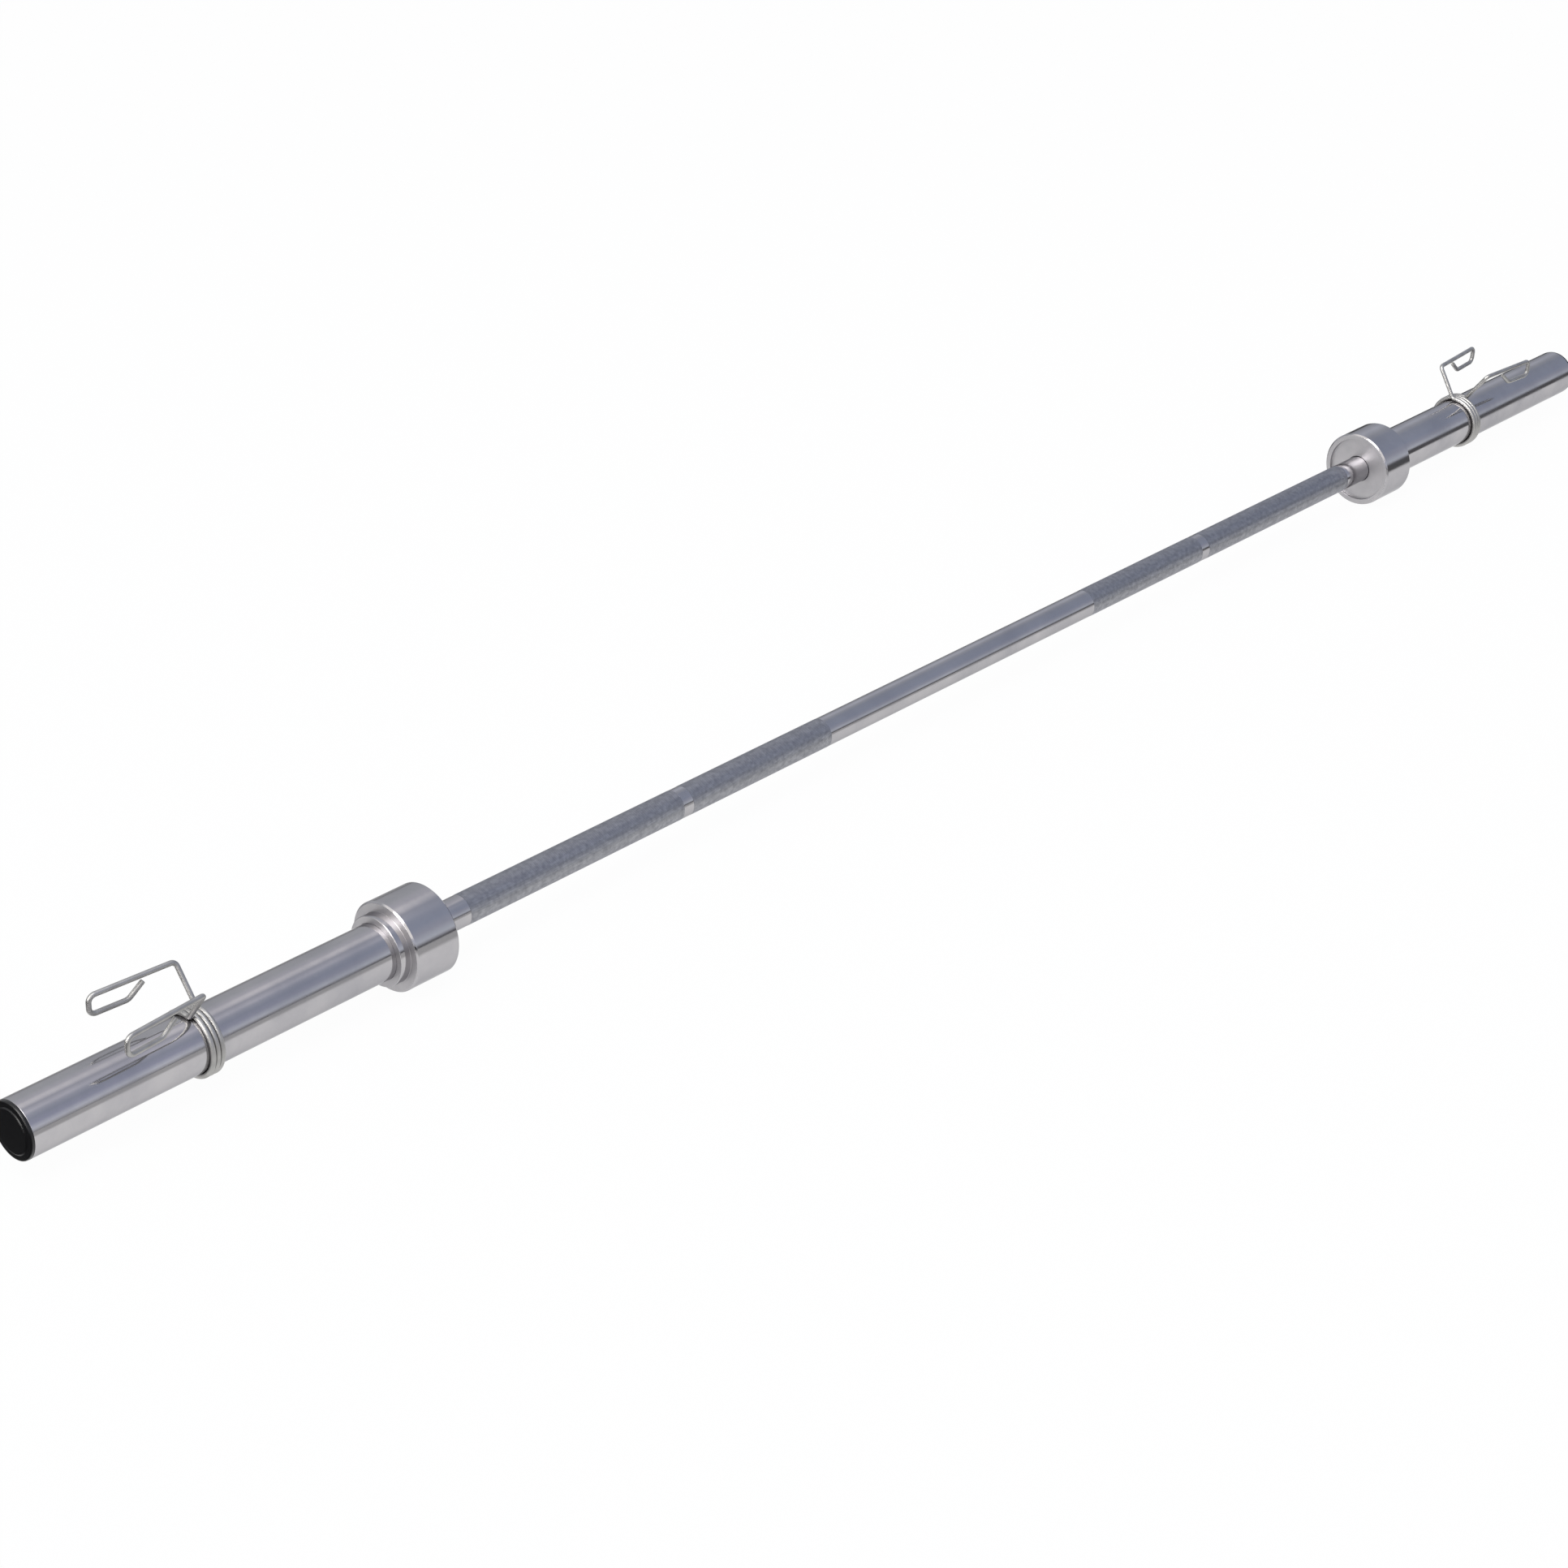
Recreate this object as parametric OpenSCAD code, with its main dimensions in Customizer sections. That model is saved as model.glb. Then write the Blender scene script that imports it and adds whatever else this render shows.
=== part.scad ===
// Olympic barbell: a one-piece knurled shaft, two sleeves that turn on bushings, and two
// spring clips. The bar lies along X, its axis passes through the origin, and Z is up.

/* [Bar] */
// Length of the bar from the face of one end cap to the face of the other
bar_length = 2200; // [1900:10:2300]
// Distance between the inner faces of the two stop collars
grip_length = 1368; // [1250:2:1420]
// Diameter of the shaft where it is smooth
shaft_d = 28; // [27:0.5:30]
// Diameter of the turned-down journal inside each sleeve
journal_d = 25; // [22:0.5:26]
// Length of full-size shaft between the collar's lip and the journal's shoulder
shoulder_inset = 4; // [2:0.5:10]
// Clear space between the journal's end and the end cap's plug
journal_end_room = 4; // [2:0.5:10]
// Length of journal left outside the snap ring
journal_tail = 5; // [3:0.5:10]

/* [Knurling] */
// Length of the smooth middle of the shaft
smooth_middle = 394; // [100:2:600]
// Smooth neck between each knurled band and the stop collar
neck_length = 37; // [10:1:80]
// How far the knurling stands above the smooth shaft
knurl_rise = 0.15; // [0.05:0.05:0.4]
// Length of the slope at each end of a knurled band
knurl_edge = 1; // [0.5:0.5:3]
// Distance from the middle of the bar to the middle of each grip mark
grip_mark_x = 386; // [340:1:480]
// Width of the smooth grip mark that divides each knurled band
grip_mark_w = 12; // [3:1:20]

/* [Sleeve] */
// Outside diameter of the sleeve that the plates slide on
sleeve_d = 50; // [48:0.5:52]
// Depth of the step between the bushing seats and the sleeve's middle bore
seat_step = 1; // [0.5:0.25:1.5]
// Bevel around the sleeve's outer end
sleeve_bevel = 0.8; // [0.4:0.2:1.5]

/* [Stop collar] */
// Outside diameter of the stop collar
collar_d = 80; // [70:1:95]
// Length of the stop collar's large rim
collar_length = 46; // [25:1:60]
// Bevel around both edges of the rim
collar_bevel = 1.5; // [0.5:0.25:3]
// Width of the raised rim around the collar's inner face
rim_w = 6; // [3:0.5:10]
// Depth of the recess inside that rim
recess_depth = 3; // [1:0.5:6]
// Thickness of the lip that closes the collar in around the shaft
lip_thickness = 3; // [2:0.5:6]
// Thickness of the hub's wall, which steps down from the rim to the sleeve
hub_wall = 6.25; // [3:0.25:9]
// Length of the hub beyond the rim
hub_length = 10; // [4:1:20]

/* [Bushings and washers] */
// Wall of the bronze bushings
bushing_wall = 4.5; // [3:0.25:5.5]
// Length of each bushing
bushing_length = 40; // [20:1:60]
// Thickness of the washers at both ends of the journal
washer_thickness = 2; // [1:0.25:3]
// Thickness of the snap ring
snap_ring_thickness = 1.5; // [1:0.25:2]
// Depth of the snap ring's groove in the journal
groove_depth = 1; // [0.5:0.25:1.5]
// Radial width of the snap ring
snap_ring_w = 3; // [2:0.25:3.5]

/* [End cap] */
// Thickness of the end cap outside the sleeve
cap_thickness = 4; // [2:0.5:8]
// Length of the plug that holds the cap in the sleeve
cap_plug_length = 12; // [8:1:20]
// Wall of the plug
cap_plug_wall = 3; // [2:0.5:5]
// Radius of the cap's rounded outer edge
cap_round = 1.5; // [0.5:0.25:1.5]
// Width of the raised rim around the cap's face
cap_rim_w = 5; // [3:0.5:8]
// Depth of the dished middle of the cap's face
cap_dish = 1.2; // [0.5:0.1:1.5]

/* [Spring clips] */
// Diameter of the clips' steel wire
wire_d = 4.5; // [3.5:0.25:5]
// Number of whole turns in each coil
coil_turns = 3; // [2:1:5]
// Distance from the left collar's hub side to the middle of the left coil
left_clip_place = 197; // [60:0.5:230]
// Distance from the right collar's hub side to the middle of the right coil
right_clip_place = 156; // [60:0.5:230]
// Turn of both clips about the bar, away from upright and towards the back
clip_turn = -3.5; // [-30:0.5:30]
// Distance from the bar's axis to the corner of each handle
corner_reach = 64.5; // [55:0.5:80]
// Angle from the clip's middle plane to the corner of each handle
corner_angle = 24; // [21:0.5:30]
// How far a handle's leg leans outboard between the coil and the corner
leg_lean = 1.5; // [0:0.5:5]
// Length of a handle along the bar
handle_length = 78.5; // [60:0.5:110]
// How far the two handles spread further apart along that length, each
handle_flare = 5.5; // [0:0.5:15]
// How far a handle rises away from the bar along that length
handle_rise = 2.5; // [0:0.5:8]
// Distance between the two runs of wire in a handle's end loop
loop_w = 17; // [13:0.5:20]
// Length of the loop's returning run
return_length = 35; // [25:1:50]
// Length along the bar of the hooked end of the wire
hook_run = 14; // [8:0.5:18]
// Gap between the hooked end and the run of wire above it
hook_gap = 1; // [0.5:0.25:3]
// Radius of the bends at the coil and at the handle's corner, at the middle of the wire
bend_r = 4.5; // [4:0.5:6]
// Radius of the two bends at the end of the loop, at the middle of the wire
loop_bend_r = 6; // [4:0.5:6.5]
// Radius of the gentle bend where the hooked end begins, at the middle of the wire
hook_bend_r = 8; // [5:0.5:12]

/* [Clearances] */
// Radial running clearance between journal and bushings
bearing_gap = 0.05; // [0.02:0.01:0.1]
// Radial gap of a pressed seat
seat_gap = 0.02; // [0.01:0.01:0.05]
// Radial clearance around washers, cap plug and other loose fits
loose_gap = 0.1; // [0.05:0.05:0.2]
// Clearance between the shaft and the collar's lip
lip_gap = 0.35; // [0.3:0.05:0.6]
// Axial play between washers and bushings
end_play = 0.3; // [0.2:0.05:0.5]
// Gap between the coil and the sleeve at rest
grip_gap = 0.25; // [0.2:0.05:0.5]
// Gap between neighbouring turns of a coil
turn_gap = 0.1; // [0.05:0.05:0.5]

/* [Hidden] */
SIDED = ["sleeve_tube", "stop_collar", "inner_bushing", "outer_bushing", "thrust_washer",
    "end_washer", "snap_ring", "end_cap", "clip_coil", "clip_rear_handle", "clip_front_handle"];

LEFT = -1;
RIGHT = 1;
REAR = 1;
FRONT = -1;
UP = [0, 0, 1];

// Small fixed values
small_bevel = 0.5;
washer_edge_room = 0.5;
round_sides = 96;
hole_sides = 32;
lug_extra = 0.4;
lug_hole_r = 1;
cap_round_steps = 5;

// Radii
shaft_r = shaft_d / 2;
journal_r = journal_d / 2;
groove_r = journal_r - groove_depth;
sleeve_r = sleeve_d / 2;
collar_r = collar_d / 2;
hub_r = sleeve_r + hub_wall;
bushing_bore_r = journal_r + bearing_gap;
bushing_r = bushing_bore_r + bushing_wall;
seat_r = bushing_r + seat_gap;
washer_bore_r = journal_r + loose_gap;
washer_r = seat_r - washer_edge_room;
cap_r = sleeve_r - 2 * loose_gap;
plug_r = seat_r - loose_gap;

// Stations along the bar, from its middle to its right end
collar_face_x = grip_length / 2;
recess_x = collar_face_x + recess_depth;
tube_start_x = recess_x + lip_thickness;
rim_end_x = collar_face_x + collar_length;
hub_end_x = rim_end_x + hub_length;
tube_end_x = bar_length / 2 - cap_thickness;
shoulder_x = tube_start_x + shoulder_inset;
knurl_start_x = smooth_middle / 2;
knurl_end_x = collar_face_x - neck_length;
inner_bushing_x = shoulder_x + washer_thickness + end_play;
plug_start_x = tube_end_x - cap_plug_length;
journal_end_x = plug_start_x - journal_end_room;
snap_ring_x = journal_end_x - journal_tail - snap_ring_thickness;
end_washer_x = snap_ring_x - washer_thickness;
outer_bushing_x = end_washer_x - end_play - bushing_length;

// Spring clip
wire_r = wire_d / 2;
wire_sides = 10;
coil_r = sleeve_r + grip_gap + wire_r;
coil_pitch = wire_d + turn_gap;
coil_reach = coil_turns * coil_pitch / 2;
steps_per_turn = 30;
bend_step = 15;

// Colours
chrome = "#b9bdc6";
dull_chrome = "#8d9099";
bronze = "#b08d57";
black_plastic = "#1f1f20";
wire_steel = "#8f8f8f";

function unit(v) = v / norm(v);

// A point at a distance from the bar's axis, turned from upright towards the back
function around(x, radius, angle) = [x, radius * sin(angle), radius * cos(angle)];

// Points of a round bend of the wire at corner b, between its neighbours a and c
function bend(a, b, c, radius) =
    let (
        back = unit(a - b),
        ahead = unit(c - b),
        half = acos(back * ahead) / 2,
        turn = 180 - 2 * half,
        centre = b + unit(back + ahead) * radius / sin(half),
        out = unit(b + back * radius / tan(half) - centre),
        steps = ceil(turn / bend_step)
    )
    [for (i = [0:steps]) centre + radius * (out * cos(turn * i / steps) - back * sin(turn * i / steps))];

// The wire's middle line: straight runs between corners, with a round bend at each one
function bent_line(corners, radii) =
    let (last = len(corners) - 1)
    concat(
        [corners[0]],
        [for (i = [1:last - 1]) each bend(corners[i - 1], corners[i], corners[i + 1], radii[i - 1])],
        [corners[last]]
    );

// Plane across the line at point i: square at both ends, halfway between runs elsewhere
function across(line, i) =
    let (
        before = unit(line[max(i, 1)] - line[max(i, 1) - 1]),
        after = unit(line[min(i, len(line) - 2) + 1] - line[min(i, len(line) - 2)])
    )
    unit(before + after);

// A ring of wire points slid along one run until it lies in the plane through the next point
function slide_ring(ring, line, i) =
    let (
        run = unit(line[i] - line[i - 1]),
        plane = across(line, i)
    )
    [for (p = ring) p + run * (((line[i] - p) * plane) / (run * plane))];

// All rings of the wire along its line
function wire_rings(line, first) =
    [for (i = 0, ring = first; i < len(line);
        i = i + 1, ring = i < len(line) ? slide_ring(ring, line, i) : ring) ring];

// The wire's round section at a point on the coil, in the plane through the bar's axis
function coil_ring(x, angle) =
    [for (k = [0:wire_sides - 1])
        around(x + wire_r * cos(360 * k / wire_sides), coil_r + wire_r * sin(360 * k / wire_sides), angle)];

// Solid of revolution about the bar's axis, from points given as [radius, station]
module turned(outline) {
    rotate([0, 90, 0])
        rotate_extrude($fn = round_sides)
            polygon(outline);
}

// Closed solid through a row of rings, with flat ends
module ring_solid(rings) {
    sides = len(rings[0]);
    last = len(rings) - 1;
    polyhedron(
        points = [for (ring = rings) each ring],
        faces = concat(
            [[for (k = [0:sides - 1]) k]],
            [for (i = [0:last - 1]) for (k = [0:sides - 1])
                [i * sides + k, (i + 1) * sides + k,
                    (i + 1) * sides + (k + 1) % sides, i * sides + (k + 1) % sides]],
            [[for (k = [sides - 1:-1:0]) last * sides + k]]
        )
    );
}

// The right side's shapes, mirrored for the left side
module on_side(side) {
    mirror([side == LEFT ? 1 : 0, 0, 0]) children();
}

// A clip's shapes, turned about the bar and moved to the clip's place on its sleeve
module at_clip(side) {
    place = side == LEFT ? left_clip_place : right_clip_place;
    on_side(side)
        translate([rim_end_x + place, 0, 0])
            rotate([-clip_turn, 0, 0])
                children();
}

module bar_shaft() {
    knurl_r = shaft_r + knurl_rise;
    mark_in_x = grip_mark_x - grip_mark_w / 2;
    mark_out_x = grip_mark_x + grip_mark_w / 2;
    half = [
        [shaft_r, knurl_start_x],
        [knurl_r, knurl_start_x + knurl_edge],
        [knurl_r, mark_in_x - knurl_edge],
        [shaft_r, mark_in_x],
        [shaft_r, mark_out_x],
        [knurl_r, mark_out_x + knurl_edge],
        [knurl_r, knurl_end_x - knurl_edge],
        [shaft_r, knurl_end_x],
        [shaft_r, shoulder_x - small_bevel],
        [shaft_r - small_bevel, shoulder_x],
        [journal_r, shoulder_x],
        [journal_r, snap_ring_x],
        [groove_r, snap_ring_x],
        [groove_r, snap_ring_x + snap_ring_thickness],
        [journal_r, snap_ring_x + snap_ring_thickness],
        [journal_r, journal_end_x - small_bevel],
        [journal_r - small_bevel, journal_end_x],
        [0, journal_end_x]
    ];
    mirrored_half = [for (i = [len(half) - 1:-1:0]) [half[i][0], -half[i][1]]];
    color(chrome) turned(concat(mirrored_half, half));
}

module sleeve_tube(side) {
    color(chrome) on_side(side) turned([
        [seat_r, tube_start_x],
        [sleeve_r, tube_start_x],
        [sleeve_r, tube_end_x - sleeve_bevel],
        [sleeve_r - sleeve_bevel, tube_end_x],
        [seat_r, tube_end_x],
        [seat_r, outer_bushing_x],
        [seat_r - seat_step, outer_bushing_x],
        [seat_r - seat_step, inner_bushing_x + bushing_length],
        [seat_r, inner_bushing_x + bushing_length]
    ]);
}

module stop_collar(side) {
    lip_r = shaft_r + lip_gap;
    recess_r = collar_r - rim_w;
    seat = sleeve_r + seat_gap;
    color(chrome) on_side(side) turned([
        [recess_r, collar_face_x],
        [collar_r - collar_bevel, collar_face_x],
        [collar_r, collar_face_x + collar_bevel],
        [collar_r, rim_end_x - collar_bevel],
        [collar_r - collar_bevel, rim_end_x],
        [hub_r, rim_end_x],
        [hub_r, hub_end_x - small_bevel],
        [hub_r - small_bevel, hub_end_x],
        [seat, hub_end_x],
        [seat, tube_start_x],
        [lip_r, tube_start_x],
        [lip_r, recess_x],
        [recess_r, recess_x]
    ]);
}

// A bushing pressed into the sleeve, from its inner end at station x
module bushing(side, x) {
    color(bronze) on_side(side) turned([
        [bushing_bore_r, x],
        [bushing_r - small_bevel, x],
        [bushing_r, x + small_bevel],
        [bushing_r, x + bushing_length - small_bevel],
        [bushing_r - small_bevel, x + bushing_length],
        [bushing_bore_r, x + bushing_length]
    ]);
}

module washer(side, x) {
    color(chrome) on_side(side) turned([
        [washer_bore_r, x],
        [washer_r, x],
        [washer_r, x + washer_thickness],
        [washer_bore_r, x + washer_thickness]
    ]);
}

// Open ring with two drilled lugs, seated in the journal's groove
module snap_ring(side) {
    opening_angle = 40;
    lug_r = snap_ring_w / 2 + lug_extra;
    bore_r = groove_r + seat_gap;
    middle_r = bore_r + snap_ring_w / 2;
    color(dull_chrome)
        on_side(side)
            translate([snap_ring_x, 0, 0])
                rotate([0, 90, 0])
                    difference() {
                        union() {
                            rotate([0, 0, opening_angle / 2])
                                rotate_extrude(angle = 360 - opening_angle, $fn = round_sides)
                                    translate([bore_r, 0])
                                        square([snap_ring_w, snap_ring_thickness]);
                            for (way = [-1, 1])
                                rotate([0, 0, way * opening_angle / 2])
                                    translate([middle_r + lug_r - snap_ring_w / 2, 0, 0])
                                        cylinder(r = lug_r, h = snap_ring_thickness, $fn = hole_sides);
                        }
                        for (way = [-1, 1])
                            rotate([0, 0, way * opening_angle / 2])
                                translate([middle_r + lug_r - snap_ring_w / 2, 0, -snap_ring_thickness])
                                    cylinder(r = lug_hole_r, h = 3 * snap_ring_thickness, $fn = hole_sides);
                    }
}

module end_cap(side) {
    cap_face_x = tube_end_x + cap_thickness;
    rim_in_r = cap_r - cap_rim_w;
    color(black_plastic) on_side(side) turned(concat(
        [
            [0, tube_end_x],
            [plug_r - cap_plug_wall, tube_end_x],
            [plug_r - cap_plug_wall, plug_start_x],
            [plug_r - small_bevel, plug_start_x],
            [plug_r, plug_start_x + small_bevel],
            [plug_r, tube_end_x],
            [cap_r, tube_end_x]
        ],
        [for (i = [0:cap_round_steps])
            [cap_r - cap_round * (1 - cos(90 * i / cap_round_steps)),
                cap_face_x - cap_round * (1 - sin(90 * i / cap_round_steps))]],
        [
            [rim_in_r, cap_face_x],
            [rim_in_r - cap_dish, cap_face_x - cap_dish],
            [0, cap_face_x - cap_dish]
        ]
    ));
}

// Close-wound turns around the sleeve, from the rear handle's wire to the front handle's wire
module clip_coil(side) {
    steps = coil_turns * steps_per_turn;
    color(wire_steel)
        at_clip(side)
            ring_solid([for (i = [0:steps])
                coil_ring(coil_reach * (2 * i / steps - 1), -360 * coil_turns * i / steps)]);
}

// A handle: the wire leaves the coil, rises to a corner and runs outboard, and its loop hangs
// straight down from the far end, returns below the run and hooks up towards it
module clip_handle(side, way) {
    foot = around(-way * coil_reach, coil_r, 0);
    rise_start = foot + [0, way * bend_r, 0];
    corner = around(-way * coil_reach + leg_lean, corner_reach, way * corner_angle);
    outward = around(0, 1, way * corner_angle);
    sideways = way * around(0, 1, way * corner_angle + 90);
    run = unit([handle_length, 0, 0] + sideways * handle_flare + outward * handle_rise);
    far_corner = corner + run * handle_length;
    loop_corner = far_corner - UP * loop_w;
    hook_start = loop_corner - run * return_length;
    hook_end = hook_start - run * hook_run + UP * (loop_w - wire_d - hook_gap);
    line = bent_line(
        [foot, rise_start, corner, far_corner, loop_corner, hook_start, hook_end],
        [bend_r, bend_r, loop_bend_r, loop_bend_r, hook_bend_r]
    );
    rings = wire_rings(line, coil_ring(-way * coil_reach, 0));
    color(wire_steel)
        at_clip(side)
            if (way == REAR) ring_solid([for (i = [len(rings) - 1:-1:0]) rings[i]]);
            else ring_solid(rings);
}

bar_shaft();
sleeve_tube(LEFT);  // left_sleeve_tube
stop_collar(LEFT);  // left_stop_collar
bushing(LEFT, inner_bushing_x);  // left_inner_bushing
bushing(LEFT, outer_bushing_x);  // left_outer_bushing
washer(LEFT, shoulder_x);  // left_thrust_washer
washer(LEFT, end_washer_x);  // left_end_washer
snap_ring(LEFT);  // left_snap_ring
end_cap(LEFT);  // left_end_cap
clip_coil(LEFT);  // left_clip_coil
clip_handle(LEFT, REAR);  // left_clip_rear_handle
clip_handle(LEFT, FRONT);  // left_clip_front_handle
sleeve_tube(RIGHT);  // right_sleeve_tube
stop_collar(RIGHT);  // right_stop_collar
bushing(RIGHT, inner_bushing_x);  // right_inner_bushing
bushing(RIGHT, outer_bushing_x);  // right_outer_bushing
washer(RIGHT, shoulder_x);  // right_thrust_washer
washer(RIGHT, end_washer_x);  // right_end_washer
snap_ring(RIGHT);  // right_snap_ring
end_cap(RIGHT);  // right_end_cap
clip_coil(RIGHT);  // right_clip_coil
clip_handle(RIGHT, REAR);  // right_clip_rear_handle
clip_handle(RIGHT, FRONT);  // right_clip_front_handle
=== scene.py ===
"""Dresses the olympic barbell: chromed steel, spring clips, studio and camera.

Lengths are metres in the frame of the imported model: the bar lies along X, its axis
passes through the origin and Z is up. Pieces are modelled for the right end of the bar
and copied to the left end, each copy with a mesh of its own.
"""

import logging
import math
from collections.abc import Callable, Iterator, Mapping, Sequence
from contextlib import contextmanager
from dataclasses import dataclass, field
from enum import Enum
from functools import partial

import bpy
import numpy as np
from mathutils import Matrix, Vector


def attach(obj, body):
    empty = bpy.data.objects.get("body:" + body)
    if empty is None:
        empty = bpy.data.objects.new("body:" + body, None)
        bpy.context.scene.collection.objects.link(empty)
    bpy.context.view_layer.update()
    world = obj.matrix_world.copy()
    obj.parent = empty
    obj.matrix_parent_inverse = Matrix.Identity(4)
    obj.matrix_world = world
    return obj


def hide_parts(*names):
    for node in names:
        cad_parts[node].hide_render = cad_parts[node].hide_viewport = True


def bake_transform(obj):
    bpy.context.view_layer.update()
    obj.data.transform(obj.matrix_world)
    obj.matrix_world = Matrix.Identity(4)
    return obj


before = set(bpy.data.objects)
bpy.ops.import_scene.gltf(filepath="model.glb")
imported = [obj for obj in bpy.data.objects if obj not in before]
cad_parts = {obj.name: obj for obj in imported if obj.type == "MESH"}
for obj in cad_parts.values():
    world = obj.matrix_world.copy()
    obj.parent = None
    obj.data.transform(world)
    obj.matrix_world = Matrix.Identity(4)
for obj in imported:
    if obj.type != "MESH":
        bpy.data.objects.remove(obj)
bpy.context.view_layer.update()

MM = 0.001
ORIGIN = (0.0, 0.0, 0.0)
UP = Vector((0.0, 0.0, 1.0))
FULL_TURN = 2 * math.pi
# Turns a primitive's own axis from Z to X.
ALONG_BAR = (0, math.pi / 2, 0)
MERGE_DISTANCE = 0.001 * MM
# A turned piece's corners that are sharper than this are rounded, in so many steps.
CORNER_ANGLE = math.radians(25)
CORNER_SEGMENTS = 3
TURNED_SMOOTH_ANGLE = math.radians(35)

Outline = Sequence[tuple[float, float]]
Stops = Sequence[tuple[float, str]]
Piece = bpy.types.Object
Material = bpy.types.Material
Node = bpy.types.Node
Socket = bpy.types.NodeSocket
Link = Node | Socket | float | tuple[float, ...]
# The function add_node with its node tree already given.
AddNode = Callable[..., Node]

log = logging.getLogger("barbell")


class Side(Enum):
    """The two ends of the bar, as the sign of their stations along X."""

    LEFT = -1
    RIGHT = 1

    def named(self, part: str) -> str:
        """Puts the side's name in front of a part's or a body's name."""
        return f"{self.name.lower()}_{part}"


class Way(Enum):
    """The two handles of a clip, as the sign of the way that they lean along Y."""

    REAR = 1
    FRONT = -1

    @property
    def label(self) -> str:
        """The handle's name in the names of pieces and bodies."""
        return self.name.lower()


# Workshop: the steps that every piece is modelled with


def put_down_tools() -> None:
    """Goes back to object mode with nothing selected."""
    if bpy.context.object and bpy.context.object.mode != "OBJECT":
        bpy.ops.object.mode_set(mode="OBJECT")
    bpy.ops.object.select_all(action="DESELECT")


def pick_up(piece: Piece) -> None:
    """Makes one piece the only selected object and the active one.

    Args:
        piece: The piece to work on.
    """
    put_down_tools()
    piece.select_set(True)
    bpy.context.view_layer.objects.active = piece


def settle(name: str) -> Piece:
    """Names the newly added piece and puts its place into its mesh.

    Args:
        name: The piece's name.

    Returns:
        The piece, with its object at the origin.
    """
    piece = bpy.context.object
    piece.name = name
    piece.data.name = name
    bpy.ops.object.transform_apply(location=True, rotation=True, scale=True)
    return piece


@contextmanager
def editing(piece: Piece, wanted: np.ndarray | None = None) -> Iterator[None]:
    """Opens a piece in edit mode, and goes back to object mode at the end.

    Args:
        piece: The piece to open.
        wanted: One true or false value for each vertex, which says whether it is
            selected. Without it, all of the piece is.
    """
    pick_up(piece)
    mesh = piece.data
    if wanted is not None:
        for elements in (mesh.polygons, mesh.edges):
            elements.foreach_set("select", np.zeros(len(elements), bool))
        mesh.vertices.foreach_set("select", wanted)
    bpy.ops.object.mode_set(mode="EDIT")
    bpy.ops.mesh.select_mode(type="VERT")
    if wanted is None:
        bpy.ops.mesh.select_all(action="SELECT")
    yield
    bpy.ops.object.mode_set(mode="OBJECT")


def extrude(step: Sequence[float]) -> None:
    """Extrudes what is selected by a step along X, Y and Z."""
    bpy.ops.mesh.extrude_region_move(TRANSFORM_OT_translate={"value": step})


def widen(growth: float) -> None:
    """Scales what is selected away from the bar's axis."""
    bpy.ops.transform.resize(value=(1, growth, growth), center_override=ORIGIN)


def vertex_places(piece: Piece) -> np.ndarray:
    """Reads where a piece's vertices are.

    Args:
        piece: The piece to read, in object mode.

    Returns:
        One row of X, Y and Z for each vertex.
    """
    places = np.empty(len(piece.data.vertices) * 3)
    piece.data.vertices.foreach_get("co", places)
    return places.reshape(-1, 3)


def close_and_face_outwards(piece: Piece) -> None:
    """Merges doubled vertices, closes open ends and turns every face outwards.

    Args:
        piece: The piece to close.
    """
    with editing(piece):
        bpy.ops.mesh.remove_doubles(threshold=MERGE_DISTANCE)
        bpy.ops.mesh.fill_holes(sides=0)
        bpy.ops.mesh.select_all(action="SELECT")
        bpy.ops.mesh.normals_make_consistent(inside=False)


def turn_on_lathe(name: str, outline: Outline, segments: int, hollow: bool) -> Piece:
    """Turns an outline about the bar's axis, one ring after the other.

    Args:
        name: The piece's name.
        outline: Corners as (radius, station along X).
        segments: Number of vertices in each ring.
        hollow: True where the outline closes on itself, as a tube's does.

    Returns:
        The closed piece.
    """
    put_down_tools()
    radius, station = outline[0]
    bpy.ops.mesh.primitive_circle_add(
        vertices=segments,
        radius=radius,
        fill_type="NOTHING",
        location=(station, 0, 0),
        rotation=ALONG_BAR,
    )
    piece = settle(name)
    corners = [*outline[1:], outline[0]] if hollow else outline[1:]
    with editing(piece):
        for next_radius, next_station in corners:
            extrude((next_station - station, 0, 0))
            widen(next_radius / radius)
            radius, station = next_radius, next_station
    close_and_face_outwards(piece)
    return piece


def mirrored_copy(piece: Piece, name: str, slide: float = 0.0) -> Piece:
    """Copies a right-hand piece to the left end of the bar.

    Args:
        piece: The right-hand piece.
        name: The copy's name.
        slide: How far the mirrored copy then moves along X.

    Returns:
        The copy, with a mesh of its own.
    """
    pick_up(piece)
    bpy.ops.object.duplicate(linked=False)
    copy = settle(name)
    with editing(copy):
        bpy.ops.transform.resize(value=(-1, 1, 1), center_override=ORIGIN)
        bpy.ops.transform.translate(value=(slide, 0, 0))
        bpy.ops.mesh.normals_make_consistent(inside=False)
    return copy


def apply_modifier(piece: Piece, kind: str, **settings: object) -> None:
    """Adds a modifier to a piece and applies it at once.

    Args:
        piece: The piece to change.
        kind: Blender's name for the kind of modifier.
        **settings: The modifier's own settings.
    """
    pick_up(piece)
    modifier = piece.modifiers.new(kind.lower(), kind)
    for name, value in settings.items():
        setattr(modifier, name, value)
    bpy.ops.object.modifier_apply(modifier=modifier.name)


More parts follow.
